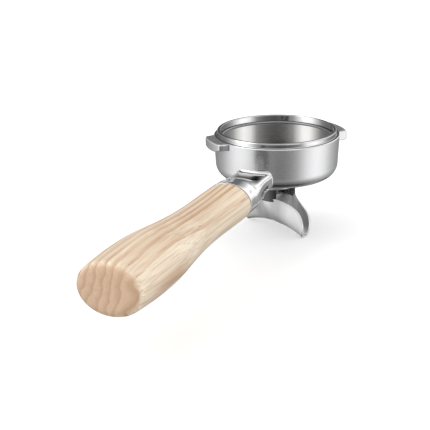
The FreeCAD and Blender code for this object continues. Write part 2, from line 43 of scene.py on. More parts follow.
# Sizes in millimetres and angles in degrees. The origin is on the cup's axis in the plane of the rim's top,
# with +Z up and the handle along -Y.
CUP_RADIUS = 34.99
CUP_FOOT_RADIUS = 34.2
CUP_HEIGHT = 26.5
CUP_CORNER = 8.0
CUP_FLOOR = -23.0
RIM_HEIGHT = 2.7
RIM_INNER = 31.4
RIM_OUTER = 33.3
BORE = 30.6
GROOVE_TOP = -3.45
GROOVE_FOOT = -4.95
GROOVE_RADIUS = 32.0
BOSS_RADIUS = 10.8
BOSS_FOOT = -28.1
THREAD_RADIUS = 8.3
THREAD_TOP = -25.1
OUTLET_RADIUS = 5.6
EAR_REACH = 40.0
EAR_THICKNESS = 5.4
EAR_RAMP = 2.0
EAR_EDGE = 0.8
EAR_HOLLOW = 0.7
EAR_ANGLE = 46.0
SPRING_RADIUS = 30.8
SPRING_WIRE = 0.65
SPRING_LEVEL = -4.2
SPRING_GAP = 24.0
COLLAR_FACE = -68.9
COLLAR_BACK = -61.0
COLLAR_HALF = 13.05
SHOULDER = -60.5
SHOULDER_HALF = 12.7
WASHER_BORE = 5.2
WASHER_HALF = 12.75
WASHER_THICKNESS = 0.5
GRIP_FRONT = -69.4
GRIP_END = -193.3
GRIP_BORE = 5.6
GRIP_ROUNDING = 4.2
SPOUT_ANGLE = -25.0

# Where an ear's ramp runs and where its ends fall back to the cup, in degrees from the ear's middle.
RAMP_SPAN = (2.0, 18.0)
LEADING_END = (13.2, 19.4)
TRAILING_END = (14.8, 20.6)

# The handle's axis: its height, and how tall an oval about it is for its width.
HANDLE_AXIS = -22.05
ASPECT = 0.776

# The neck, first near the cup and then near the collar: place along Y, half width, top and bottom.
NECK_PLACES = (-29.0, -63.25)
NECK_HALVES = (9.9, 10.8)
NECK_TOPS = (-16.4, -15.4)
NECK_BOTTOMS = (-24.0, -27.6)
NECK_CORNER = 2.9

# The scoop in the neck's top, rounded from its bend towards the collar and ending at the cup, and the slot in
# each flank.
SCOOP_HALF = 8.3
SCOOP_ROUND = 7.6
SCOOP_BEND = -45.0
SCOOP_END = (-37.6, -36.8)
SCOOP_FLOOR = -21.0
SLOT_ENDS = (-53.2, -38.4)
SLOT_HEIGHTS = (-22.9, -21.0)
SLOT_DEPTH = 1.5


# ---------------------------------------------------------------- meshes

def make_object(name, points, faces, body, material, nodes, smooth_angle=40.0):
    """A mesh from points in millimetres, riding on a body in place of CAD nodes."""
    mesh = bpy.data.meshes.new(name)
    mesh.from_pydata([tuple(p) for p in np.asarray(points, float) * MM], [], faces)
    shell = bmesh.new()
    shell.from_mesh(mesh)
    bmesh.ops.remove_doubles(shell, verts=shell.verts, dist=0.002 * MM)
    bmesh.ops.recalc_face_normals(shell, faces=shell.faces)
    shell.to_mesh(mesh)
    shell.free()
    mesh.update()
    mesh.polygons.foreach_set("use_smooth", [True] * len(mesh.polygons))
    mesh.set_sharp_from_angle(angle=math.radians(smooth_angle))
    mesh.materials.append(material)
    piece = bpy.data.objects.new(name, mesh)
    bpy.context.scene.collection.objects.link(piece)
    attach(piece, body)
    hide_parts(*nodes)
    return piece


def join_rings(rings, loop=False):
    """Points and faces of a skin through equal rings of points, either a loop or capped at both ends."""
    count = len(rings[0])
    points = np.concatenate([np.asarray(ring, float) for ring in rings])
    faces = []
    last = len(rings) if loop else len(rings) - 1
    for i in range(last):
        a, b = i * count, ((i + 1) % len(rings)) * count
        for j in range(count):
            k = (j + 1) % count
            faces.append((a + j, a + k, b + k, b + j))
    if not loop:
        faces.append(tuple(range(count - 1, -1, -1)))
        faces.append(tuple(range(len(points) - count, len(points))))
    return points, faces


def arc(centre, radius, start, end, steps):
    """Points on an arc in (radius, height) from one angle to another, in degrees."""
    angles = np.radians(np.linspace(start, end, steps + 1))
    return [(centre[0] + radius * math.cos(a), centre[1] + radius * math.sin(a)) for a in angles]


def supported(profile, gap=0.12, longest=2.5):
    """A closed profile with points close to each end of its long runs and none too far apart."""
    out = []
    for (r0, z0), (r1, z1) in zip(profile, profile[1:] + profile[:1]):
        out.append((r0, z0))
        length = math.hypot(r1 - r0, z1 - z0)
        if length < 4 * gap:
            continue
        steps = max(1, int(length / longest))
        shares = [gap / length, *(step / steps for step in range(1, steps)), 1 - gap / length]
        out += [(r0 + (r1 - r0) * share, z0 + (z1 - z0) * share) for share in shares]
    return out


def revolve(profile, segments=288):
    """Points and faces of a closed profile of (radius, height) turned about Z."""
    turn = np.linspace(0, 2 * math.pi, segments, endpoint=False)
    rings = [[(r * math.cos(a), r * math.sin(a), z) for r, z in profile] for a in turn]
    return join_rings(rings, loop=True)


def smooth_step(value, low, high):
    """0 below low, 1 above high and a smooth rise between them."""
    t = np.clip((value - low) / (high - low), 0.0, 1.0)
    return t * t * (3 - 2 * t)


def grey_stops(levels, offset=0.0, span=1.0):
    """Stops of a grey ramp from pairs of place and level."""
    return [((place + offset) / span, (level, level, level)) for place, level in levels]


def bump_between(value, low, high, edge):
    """1 between low and high, falling smoothly to 0 over edge on both sides."""
    return smooth_step(value, low - edge, low) * (1 - smooth_step(value, high, high + edge))


# ---------------------------------------------------------------- materials

class Nodes:
    """A short way to add and link the nodes of one material or world."""

    def __init__(
        self, owner, shader="ShaderNodeBsdfPrincipled", output="ShaderNodeOutputMaterial", place="Object"
    ):
        owner.use_nodes = True
        self.tree = owner.node_tree
        self.tree.nodes.clear()
        self.shader = self.add(shader)
        self.link(self.shader.outputs[0], self.add(output).inputs["Surface"])
        self.place = self.add("ShaderNodeTexCoord").outputs[place]

    def add(self, kind, **settings):
        node = self.tree.nodes.new(kind)
        for name, value in settings.items():
            setattr(node, name, value)
        return node

    def link(self, out, into):
        self.tree.links.new(out, into)

    def feed(self, node, index, value):
        if isinstance(value, (int, float)):
            node.inputs[index].default_value = value
        else:
            self.link(value, node.inputs[index])

    def math(self, operation, a, b=0.0, clamp=False):
        node = self.add("ShaderNodeMath", operation=operation, use_clamp=clamp)
        self.feed(node, 0, a)
        self.feed(node, 1, b)
        return node.outputs[0]

    def noise(self, scale, detail=4.0, roughness=0.55, offset=(0, 0, 0)):
        """Noise with its own scale along each axis, in grains per metre."""
        place = self.add("ShaderNodeMapping")
        place.inputs["Scale"].default_value = scale
        place.inputs["Location"].default_value = offset
        self.link(self.place, place.inputs["Vector"])
        node = self.add("ShaderNodeTexNoise")
        node.inputs["Scale"].default_value = 1.0
        node.inputs["Detail"].default_value = detail
        node.inputs["Roughness"].default_value = roughness
        self.link(place.outputs[0], node.inputs["Vector"])
        return node.outputs[0]

    def ramp(self, value, stops):
        """A colour ramp through (position, colour) stops."""
        node = self.add("ShaderNodeValToRGB")
        while len(node.color_ramp.elements) < len(stops):
            node.color_ramp.elements.new(0.5)
        for element, (position, colour) in zip(node.color_ramp.elements, stops):
            element.position = position
            element.color = (*colour, 1)
        self.link(value, node.inputs[0])
        return node.outputs[0]

    def range(self, value, low, high, to_low, to_high):
        """A value moved from one span to another and held inside it."""
        node = self.add("ShaderNodeMapRange")
        for index, number in enumerate((low, high, to_low, to_high), 1):
            node.inputs[index].default_value = number
        self.link(value, node.inputs[0])
        return node.outputs[0]

    def mix(self, factor, first, second):
        """A colour between two others."""
        node = self.add("ShaderNodeMix", data_type="RGBA")
        self.feed(node, 0, factor)
        for index, value in ((6, first), (7, second)):
            if isinstance(value, tuple):
                node.inputs[index].default_value = (*value, 1)
            else:
                self.link(value, node.inputs[index])
        return node.outputs[2]

    def xyz(self):
        node = self.add("ShaderNodeSeparateXYZ")
        self.link(self.place, node.inputs[0])
        return node.outputs

    def bump(self, height, strength, distance):
        node = self.add("ShaderNodeBump")
        node.inputs["Strength"].default_value = strength
        node.inputs["Distance"].default_value = distance
        self.link(height, node.inputs["Height"])
        self.link(node.outputs[0], self.shader.inputs["Normal"])

    def set(self, **values):
        """Set or link the shader's inputs, named with underscores for spaces."""
        for name, value in values.items():
            socket = self.shader.inputs[name.replace("_", " ")]
            if isinstance(value, tuple):
                socket.default_value = (*value, 1)
            elif isinstance(value, (int, float)):
                socket.default_value = value
            else:
                self.link(value, socket)


# Painted reflection bands round a turned bore, by bearing in degrees from +Y towards +X, the same on both
# sides.
PAINTED_REFLECTION_BANDS = [
    (-90, 0.42), (-76, 0.50), (-68, 0.80), (-60, 1.05), (-50, 1.05), (-43, 0.60), (-36, 0.56), (-20, 0.50),
    (-3, 0.56), (2, 0.90), (8, 1.15), (17, 1.10), (26, 0.72), (35, 0.40), (60, 0.36), (90, 0.42),
]
# How bright the metal stays under painted shade on the hub's pillars and down in the neck's hollows.
PILLAR_SHADE = 0.14
HOLLOW_SHADE = 0.18
# How far a nook's walls may be apart for painted shade to darken it, in metres.
PAINTED_SHADE_REACH = 0.012
# Grains per metre along each axis: fine or coarse rings round the cup, marks along the handle, an even skin.
LATHE_GRAIN = (60.0, 60.0, 5000.0)
BORING_GRAIN = (40.0, 40.0, 2500.0)
ALONG_GRAIN = (5000.0, 40.0, 5000.0)
EVEN_GRAIN = (900.0, 900.0, 900.0)
# The finest finish: hardly any grain or unevenness.
SMOOTH = {"grain_depth": 0.003, "mottle": 0.02}


def painted_reflection_fan(n):
    """Painted reflection: light and dark bands round the cup's axis."""
    x, y, _ = n.xyz()
    bearing = n.math("ARCTANGENT", n.math("DIVIDE", x, y))
    turn = n.range(bearing, -math.pi / 2, math.pi / 2, 0.0, 1.0)
    return n.ramp(turn, grey_stops(PAINTED_REFLECTION_BANDS, 90.0, 180.0))


def within(n, *spans):
    """1 where every value, in metres, is past its (value, outside, inside) span in millimetres, else 0."""
    share = 1.0
    for value, outside, inside in spans:
        share = n.math("MULTIPLY", share, n.range(value, outside * MM, inside * MM, 0.0, 1.0))
    return share


def pillar_shade(n):
    """Painted shade on the hub's pillars, below its ring."""
    _, _, z = n.xyz()
    return n.range(z, -33.0 * MM, -32.2 * MM, PILLAR_SHADE, 1.0)


def hollow_shade(n):
    """Painted shade down in the neck's scoop and in its flank slots."""
    x, y, z = n.xyz()
    aside = n.math("ABSOLUTE", x)
    scoop = within(n, (z, -16.5, -18.2), (z, -22.6, -22.2), (aside, 8.9, 8.2), (y, -53.5, -51.0))
    slot = within(n, (aside, 9.9, 9.3), (aside, 8.3, 8.5), (z, -23.4, -23.0), (z, -20.5, -20.9))
    return n.range(n.math("MAXIMUM", scoop, slot), 0.0, 1.0, 1.0, HOLLOW_SHADE)


def metal(
    name, colour, rough, grain=LATHE_GRAIN, grain_depth=0.015, mottle=0.05, painted_shade_depth=0.75, extra_shade=None
):
    """Metal with fine machining grain, faint unevenness and painted shade darkening its corners and creases.
    """
    material = bpy.data.materials.new(name)
    n = Nodes(material)
    fine = n.noise(grain, detail=3.0, roughness=0.6)
    cloud = n.noise((90.0, 90.0, 90.0), detail=3.0)
    base = n.range(cloud, 0.3, 0.7, *rough)
    streak = n.range(fine, 0.3, 0.7, -0.5 * mottle, 0.5 * mottle)
    n.set(Roughness=n.math("ADD", base, streak, clamp=True))
    shade = n.range(fine, 0.25, 0.75, 1.0 - mottle, 1.0 + 0.3 * mottle)
    # Painted shade: the metal's colour darkens where its walls close in.
    painted_nook_shade = n.add("ShaderNodeAmbientOcclusion", samples=8)
    painted_nook_shade.inputs["Distance"].default_value = PAINTED_SHADE_REACH
    shade = n.math("MULTIPLY", shade, n.range(painted_nook_shade.outputs["AO"], 0.0, 1.0, 1.0 - painted_shade_depth, 1.0))
    if extra_shade:
        shade = n.math("MULTIPLY", shade, extra_shade(n))
    tint = n.add("ShaderNodeCombineColor")
    for index, channel in enumerate(colour):
        n.feed(tint, index, n.math("MULTIPLY", shade, channel))
    n.set(Base_Color=tint.outputs[0], Metallic=1.0)
    n.bump(fine, grain_depth, 0.0002)
    return material


def rubber(name, colour):
    """Matt dark gasket stuff with a fine tooth."""
    material = bpy.data.materials.new(name)
    n = Nodes(material)
    grain = n.noise((2500.0, 2500.0, 2500.0), detail=3.0)
    darker = tuple(0.6 * channel for channel in colour)
    n.set(Base_Color=n.mix(grain, darker, colour), Roughness=n.range(grain, 0.3, 0.7, 0.55, 0.8))
    n.bump(grain, 0.15, 0.0001)
    return material


# The tree's centre seen along the handle, in metres, and growth rings per metre.
PITH_X, PITH_Z = -0.0772, -0.002
RING_COUNT = 220.0
RING_TONE = [(0.0, 0.15), (0.10, 0.0), (0.45, 0.12), (0.80, 0.75), (0.93, 1.0), (1.0, 0.15)]
PALE_WOOD = [
    (0.30, (0.72, 0.58, 0.42)), (0.45, (0.84, 0.71, 0.54)),
    (0.58, (0.93, 0.81, 0.64)), (0.75, (0.97, 0.90, 0.80)),
]
LATE_WOOD = (0.47, 0.22, 0.09)
FIBRE_WOOD = (0.50, 0.31, 0.18)
PORE_WOOD = (0.25, 0.14, 0.07)
END_WOOD, END_LATE, END_PORE = (0.66, 0.46, 0.31), (0.44, 0.25, 0.14), (0.36, 0.21, 0.12)


def growth_rings(n, x, z):
    """How dark each growth ring's late wood is, from the distance to the tree's centre."""
    sway = n.noise((16.0, 6.0, 16.0), detail=2.0)
    wave = n.math("MULTIPLY", n.math("SUBTRACT", sway, 0.5), 0.014)
    across = n.math("ADD", n.math("SUBTRACT", x, PITH_X), wave)
    down = n.math("ADD", n.math("SUBTRACT", z, PITH_Z), n.math("MULTIPLY", wave, 0.7))
    squared = n.math("ADD", n.math("MULTIPLY", across, across), n.math("MULTIPLY", down, down))
    uneven = n.math("MULTIPLY", n.noise((90.0, 3.0, 90.0), detail=1.0, offset=(1.0, 4.0, 2.0)), 2.2)
    rings = n.math("ADD", n.math("MULTIPLY", n.math("SQRT", squared), RING_COUNT), uneven)
    return n.ramp(n.math("FRACT", rings), grey_stops(RING_TONE))


def wood(name):
    """Pale ash: growth rings cut along the handle, long pores, end grain and a satin lacquer."""
    material = bpy.data.materials.new(name)
    n = Nodes(material)
    x, y, z = n.xyz()
    late = growth_rings(n, x, z)
    patch = n.noise((110.0, 7.0, 110.0), detail=3.0, offset=(3.0, 1.0, 2.0))
    amount = n.math("MULTIPLY", late, n.range(patch, 0.38, 0.60, 0.30, 1.0))
    pale = n.ramp(n.noise((70.0, 5.0, 70.0), detail=3.0), PALE_WOOD)
    warm = n.mix(n.math("MULTIPLY", amount, 0.95), pale, LATE_WOOD)
    streaks = n.noise((900.0, 12.0, 900.0), detail=4.0, roughness=0.65)
    fibre = n.mix(n.range(streaks, 0.42, 0.70, 0.0, 0.55), warm, FIBRE_WOOD)
    pores = n.noise((2200.0, 45.0, 2200.0), detail=2.0, roughness=0.5)
    pits = n.math("MULTIPLY", n.range(pores, 0.60, 0.68, 0.0, 1.0), n.range(late, 0.2, 0.9, 0.35, 1.0))
    long_grain = n.mix(n.math("MULTIPLY", pits, 0.65), fibre, PORE_WOOD)
    end_pores = n.noise((900.0, 60.0, 900.0), detail=3.0, roughness=0.7)
    end_tone = n.mix(n.math("MULTIPLY", late, 0.55), END_WOOD, END_LATE)
    end_grain = n.mix(n.range(end_pores, 0.50, 0.70, 0.0, 0.25), end_tone, END_PORE)
    on_end = n.range(y, (GRIP_END + 2.2) * MM, (GRIP_END + 0.6) * MM, 0.0, 1.0)
    n.set(
        Base_Color=n.mix(on_end, long_grain, end_grain),
        Roughness=n.range(streaks, 0.3, 0.7, 0.34, 0.50),
        Coat_Weight=0.25,
        Coat_Roughness=0.28,
    )
    n.bump(n.math("SUBTRACT", n.math("MULTIPLY", streaks, 0.5), pits), 0.10, 0.0002)
    return material


SATIN = metal("satin_steel", (0.83, 0.83, 0.84), (0.26, 0.29), **SMOOTH, painted_shade_depth=0.25)
POLISHED = metal("polished_steel", (0.88, 0.88, 0.89), (0.08, 0.12), **SMOOTH, painted_shade_depth=0.9)
# These two bore materials carry painted reflection bands round the cup's axis.
POLISHED_BORE_PAINTED = metal(
    "polished_bore_painted_bands", (0.90, 0.90, 0.91), (0.10, 0.14), **SMOOTH, painted_shade_depth=0.4, extra_shade=painted_reflection_fan
)
TURNED_BORE_PAINTED = metal(
    "turned_bore_painted_bands", (0.80, 0.79, 0.77), (0.20, 0.28),
    grain=BORING_GRAIN, painted_shade_depth=0.15, extra_shade=painted_reflection_fan,
)
# The neck's metal carries painted shade in its scoop and flank slots.
SCOOPED = metal(
    "scooped_steel", (0.88, 0.88, 0.89), (0.10, 0.14), **SMOOTH, painted_shade_depth=0.35, extra_shade=hollow_shade
)
# The hub's metal carries painted shade on its pillars.
HUB = metal(
    "hub_steel", (0.86, 0.86, 0.87), (0.14, 0.20),
    grain_depth=0.005, mottle=0.02, painted_shade_depth=0.4, extra_shade=pillar_shade,
)
TURNED = metal("turned_steel", (0.80, 0.79, 0.77), (0.20, 0.28), grain=BORING_GRAIN, painted_shade_depth=0.2)
CAST = metal("cast_satin_steel", (0.86, 0.86, 0.86), (0.36, 0.42), grain=EVEN_GRAIN, painted_shade_depth=0.1)
WIRE = metal("drawn_wire", (0.34, 0.34, 0.35), (0.28, 0.34), grain=EVEN_GRAIN)
BRASS = metal("turned_brass", (0.83, 0.64, 0.30), (0.22, 0.32), grain=ALONG_GRAIN)
GASKET = rubber("gasket_rubber", (0.045, 0.040, 0.038))
FIBRE = rubber("dark_fibre", (0.115, 0.065, 0.035))
ASH = wood("ash_wood")


# ---------------------------------------------------------------- the holder

def cup_outer_radius(z):
    """Radius of the cup's outside at a height below the ledge."""
    z = np.asarray(z, float)
    turn = -(CUP_HEIGHT - CUP_CORNER)
    share = np.clip((z - turn) / (-RIM_HEIGHT - turn), 0, 1)
    straight = CUP_FOOT_RADIUS + (CUP_RADIUS - CUP_FOOT_RADIUS) * share
    inside = np.clip(turn - z, 0, CUP_CORNER)
    curved = CUP_FOOT_RADIUS - CUP_CORNER + np.sqrt(CUP_CORNER ** 2 - inside ** 2)
    return np.where(z >= turn, straight, curved)


def make_cup():
    """The turned cup with its rim ring, ledge, bore, spring groove, floor and outlet boss."""
    profile = [(THREAD_RADIUS, BOSS_FOOT), (BOSS_RADIUS - 0.3, BOSS_FOOT), (BOSS_RADIUS, BOSS_FOOT + 0.3)]
    profile += [(BOSS_RADIUS, -CUP_HEIGHT - 0.3), (BOSS_RADIUS + 0.3, -CUP_HEIGHT)]
    profile += arc((CUP_FOOT_RADIUS - CUP_CORNER, CUP_CORNER - CUP_HEIGHT), CUP_CORNER, -90, 0, 20)
    profile += arc((CUP_RADIUS - 0.5, -RIM_HEIGHT - 0.5), 0.5, 0, 90, 5)
    profile += arc((RIM_OUTER + 0.4, -RIM_HEIGHT + 0.4), 0.4, 270, 180, 4)
    profile += arc((RIM_OUTER - 0.8, -0.8), 0.8, 0, 90, 8)
    profile += arc((RIM_INNER + 0.4, -0.4), 0.4, 90, 180, 5)
    profile += [(RIM_INNER, GROOVE_TOP), (GROOVE_RADIUS, GROOVE_TOP), (GROOVE_RADIUS, GROOVE_FOOT)]
    profile += arc((BORE + 0.15, GROOVE_FOOT - 0.15), 0.15, 90, 180, 3)
    profile += arc((BORE - 4.0, CUP_FLOOR + 4.0), 4.0, 0, -90, 10)
    profile += [(24.0, CUP_FLOOR), (OUTLET_RADIUS + 0.3, -24.15), (OUTLET_RADIUS, -24.4)]
    profile += [(OUTLET_RADIUS, THREAD_TOP), (THREAD_RADIUS, THREAD_TOP)]
    points, faces = revolve(supported(profile))
    piece = make_object("cup", points, faces, "holder", SATIN, ["filter_holder"])
    piece.data.materials.append(POLISHED_BORE_PAINTED)
    piece.data.materials.append(TURNED_BORE_PAINTED)
    # The rim, ledge and upper wall get the polished bore and the rest of the bore the turned one, both with
    # painted reflection bands.
    for face in piece.data.polygons:
        radius = math.hypot(face.center.x, face.center.y) / MM
        z = face.center.z / MM
        on_rim = z > -RIM_HEIGHT - 0.05 and radius < CUP_RADIUS - 0.4
        inside = radius < RIM_OUTER - 0.3
        if on_rim or (inside and z > GROOVE_TOP - 0.05):
            face.material_index = 1
        elif inside and z > CUP_FLOOR - 1.5:
            face.material_index = 2
    piece.visible_glossy = False


def make_ear(name, turn):
    """One locking ear: a lobe that rises from the cup's side and runs back into it in soft hollows.

    Its underside rises towards the leading end, anticlockwise seen from above.
    """
    angles = np.radians(np.concatenate([
        np.linspace(-24.0, -13.0, 45), np.linspace(-12.6, 12.6, 64), np.linspace(13.0, 24.0, 45),
    ]))
    buried = CUP_RADIUS - 2.0
    top = -RIM_HEIGHT - 0.02
    rings = []
    for angle in angles:
        degrees = math.degrees(angle)
        low = -(RIM_HEIGHT + EAR_THICKNESS) + EAR_RAMP * smooth_step(degrees, *RAMP_SPAN)
        fall = smooth_step(degrees, *LEADING_END) if degrees > 0 else smooth_step(-degrees, *TRAILING_END)
        out = CUP_RADIUS - 0.05 + (EAR_REACH - CUP_RADIUS) * (1 - fall)
        height = out - CUP_RADIUS + 0.05
        edge = max(min(EAR_EDGE, height * 0.45), 0.001)
        ring = [(buried, low + 0.6), (buried, top), (CUP_RADIUS - 0.3, top)]
        ring += arc((out - edge, top - edge), edge, 90, 0, 6)
        ring += [(out, z) for z in np.linspace(-RIM_HEIGHT - edge - 0.4, low + edge + 0.4, 5)]
        ring += arc((out - edge, low + edge), edge, 0, -90, 6)
        hollow = min(EAR_HOLLOW, height * 0.4)
        foot = cup_outer_radius(low - hollow) - 0.02
        for a in np.linspace(0, math.pi / 2, 5):
            ring.append((foot + hollow * (1 - math.sin(a)), low - hollow * (1 - math.cos(a))))
        ring.append((buried, low - hollow))
        whole = angle + math.radians(turn)
        rings.append([(r * math.cos(whole), r * math.sin(whole), z) for r, z in ring])
    points, faces = join_rings(rings)
    make_object(name, points, faces, "holder", SATIN, ["filter_holder"], 60.0)


# Around the neck's section: points on its top and bottom, on each side and on each corner.
TOP_POINTS, SIDE_POINTS, CORNER_POINTS = 72, 44, 8


def top_positions(half, wall):
    """Positions across the neck's top, closer together outside the middle, where the scoop's rim runs."""
    side = np.linspace(wall, half, 16)
    inner = np.linspace(-wall, wall, TOP_POINTS - 2 * len(side) + 2)[1:-1]
    return np.concatenate([-side[::-1], inner, side])


def neck_section(half, top, bottom):
    """The neck's rounded rectangle, anticlockwise from its top right seen from the handle's end."""
    reach = half - NECK_CORNER
    across = top_positions(reach, min(6.0, reach - 1.4))
    upright = np.linspace(top - NECK_CORNER, bottom + NECK_CORNER, SIDE_POINTS)
    quarter = np.linspace(0, 90, CORNER_POINTS + 2)[1:-1]

    def corner(x, z, start):
        angles = np.radians(start + quarter)
        return [(x + NECK_CORNER * math.cos(a), z + NECK_CORNER * math.sin(a)) for a in angles]

    points = [(x, top) for x in across[::-1]] + corner(-reach, upright[0], 90)
    points += [(-half, z) for z in upright] + corner(-reach, upright[-1], 180)
    points += [(x, bottom) for x in across] + corner(reach, upright[-1], 270)
    points += [(half, z) for z in upright[::-1]] + corner(reach, upright[0], 0)
    return np.array(points)


def neck_at(y):
    """The neck's section at a place along Y, larger towards the collar."""
    share = np.interp(-y, -np.array(NECK_PLACES), (0, 1))
    sizes = [first + (last - first) * share for first, last in (NECK_HALVES, NECK_TOPS, NECK_BOTTOMS)]
    return neck_section(*sizes)


def collar_section(half):
    """An ellipse with its points shared out like those of the neck's section near the collar."""
    across, up = (neck_at(-57.0) - (0.0, HANDLE_AXIS)).T
    bearing = np.arctan2(up, across * ASPECT * 1.35)
    return np.stack([half * np.cos(bearing), HANDLE_AXIS + half * ASPECT * np.sin(bearing)], 1)


def outward(section):
    """Unit normals of a closed section, pointing out."""
    along = np.roll(section, -1, 0) - np.roll(section, 1, 0)
    normal = np.stack([along[:, 1], -along[:, 0]], 1)
    return normal / np.linalg.norm(normal, axis=1)[:, None]


def carve_neck(ring):
    """Press the scoop and the flank slots into one ring of the neck's points."""
    x, y, z = ring.T
    out = np.hypot(x / SCOOP_HALF, np.minimum(y - SCOOP_BEND, 0.0) / SCOOP_ROUND)
    scoop = (1 - smooth_step(out, 0.86, 1.0)) * (1 - smooth_step(y, *SCOOP_END))
    scoop[TOP_POINTS:] = 0.0
    floor = SCOOP_FLOOR + 1.2 * out ** 2
    z += (np.minimum(floor, z) - z) * scoop
    slot = bump_between(y, *SLOT_ENDS, 0.5) * bump_between(z, *SLOT_HEIGHTS, 0.35) * (np.abs(x) > 9.0)
    x -= np.sign(x) * SLOT_DEPTH * slot


def make_neck():
    """Collar and neck in one skin, with a scooped top, slotted flanks and a soft root on the cup."""
    rings = []

    def add(section, y):
        rings.append(np.stack([section[:, 0], np.broadcast_to(y, len(section)), section[:, 1]], 1))

    centre = np.array([0.0, HANDLE_AXIS])
    edge = collar_section(COLLAR_HALF) - centre
    for share, inset in ((0.36, 0.3), (0.40, 0.0), (0.80, 0.0), (0.96, 0.0)):
        add(centre + edge * share, COLLAR_FACE + inset)
    for angle in np.radians(np.linspace(0, 90, 5)):
        add(centre + edge * (1 - 0.02 * (1 - math.sin(angle))), COLLAR_FACE + 0.3 * (1 - math.cos(angle)))
    for y in np.linspace(COLLAR_FACE + 0.6, COLLAR_BACK, 8):
        narrowing = (COLLAR_HALF - SHOULDER_HALF) * smooth_step(y, COLLAR_FACE, COLLAR_BACK)
        add(collar_section(COLLAR_HALF - narrowing), y)

    # The root spreads from the neck's last section on to the cup's outside.
    base = neck_at(-36.0)
    normal = outward(base)
    root = 0.8 + np.clip(normal[:, 1], 0, 1)
    spread = base + normal * root[:, None]
    cup = cup_outer_radius(np.maximum(spread[:, 1], 0.05 - CUP_HEIGHT))
    wall_y = -np.sqrt(np.maximum(cup ** 2 - spread[:, 0] ** 2, 1.0))
    steps = np.concatenate([
        np.linspace(0, 0.22, 12), np.linspace(0.24, 0.66, 60),
        np.linspace(0.68, 0.88, 20), np.linspace(0.89, 1, 36),
    ])
    carved_from = len(rings) - 4
    for step in steps:
        level = SHOULDER + (-38.0 - SHOULDER) * step
        share = smooth_step(level, SHOULDER, -44.0)
        section = neck_at(level) * share + collar_section(SHOULDER_HALF) * (1 - share)
        add(section, SHOULDER + (wall_y - root - SHOULDER) * step)
    for angle in np.radians(np.linspace(12, 90, 9)):
        add(base + normal * root[:, None] * (1 - math.cos(angle)), wall_y - root * (1 - math.sin(angle)))
    add(spread + normal * 0.1, wall_y + 0.8)
    for ring in rings[carved_from:]:
        carve_neck(ring)
    points, faces = join_rings(rings)
    piece = make_object("neck", points, faces, "holder", SCOOPED, ["filter_holder"], 50.0)
    piece.visible_glossy = False


def make_spring():
    """The open wire ring, with rounded ends, lying in the cup's groove."""
    gap = math.radians(SPRING_GAP)
    turn = np.linspace(-math.pi / 2 + gap / 2, 1.5 * math.pi - gap / 2, 220)
    around = np.linspace(0, 2 * math.pi, 16, endpoint=False)
    rounding = ((0.0, 0.05), (0.35, 0.6), (0.75, 0.9))
    end = [(SPRING_WIRE * inset / SPRING_RADIUS, size) for inset, size in rounding]
    stations = [(turn[0] + inset, size) for inset, size in end]
    stations += [(angle, 1.0) for angle in turn[1:-1]]
    stations += [(turn[-1] - inset, size) for inset, size in reversed(end)]
    rings = []
    for angle, size in stations:
        radii = SPRING_RADIUS + SPRING_WIRE * size * np.cos(around)
        heights = SPRING_LEVEL + SPRING_WIRE * size * np.sin(around)
        rings.append(np.stack([radii * math.cos(angle), radii * math.sin(angle), heights], 1))
    points, faces = join_rings(rings)
    make_object("spring_wire", points, faces, "holder", WIRE, ["basket_spring"], 70.0)


def oval(half, y, segments, aspect=ASPECT):
    """An upright oval ring about the handle's axis."""
    turn = np.linspace(0, 2 * math.pi, segments, endpoint=False)
    height = HANDLE_AXIS + half * aspect * np.sin(turn)
    return np.stack([half * np.cos(turn), np.full(segments, y), height], 1)


def make_joint_ring():
    """The thin dark washer between collar and wood."""
    front = [(WASHER_BORE, 0.0), (WASHER_HALF - 0.13, 0.0), (WASHER_HALF, 0.1)]
    outline = front + [(half, WASHER_THICKNESS - depth) for half, depth in reversed(front)]
    rings = [oval(half, COLLAR_FACE - depth, 128) for half, depth in outline]
    points, faces = join_rings(rings, loop=True)
    make_object("joint_ring", points, faces, "holder", FIBRE, ["joint_washer"])


# Half widths of the wooden handle, by the share of its length from the collar's end.
GRIP_SHARES = np.array([0, 0.12, 0.26, 0.40, 0.54, 0.68, 0.84, 1.0])
GRIP_HALVES = np.array([13.05, 12.90, 12.70, 13.25, 14.85, 16.70, 17.00, 15.85])
GRIP_SLOPES = np.gradient(GRIP_HALVES, GRIP_SHARES)


def grip_half(share):
    """The handle's half width at a share of its length, on a smooth curve."""
    k = int(np.clip(np.searchsorted(GRIP_SHARES, share) - 1, 0, len(GRIP_SHARES) - 2))
    span = GRIP_SHARES[k + 1] - GRIP_SHARES[k]
    t = (share - GRIP_SHARES[k]) / span
    here, after = GRIP_HALVES[k], GRIP_HALVES[k + 1]
    slope_here, slope_after = GRIP_SLOPES[k] * span, GRIP_SLOPES[k + 1] * span
    return (
        (2 * t ** 3 - 3 * t ** 2 + 1) * here + (t ** 3 - 2 * t ** 2 + t) * slope_here
        + (3 * t ** 2 - 2 * t ** 3) * after + (t ** 3 - t ** 2) * slope_after
    )


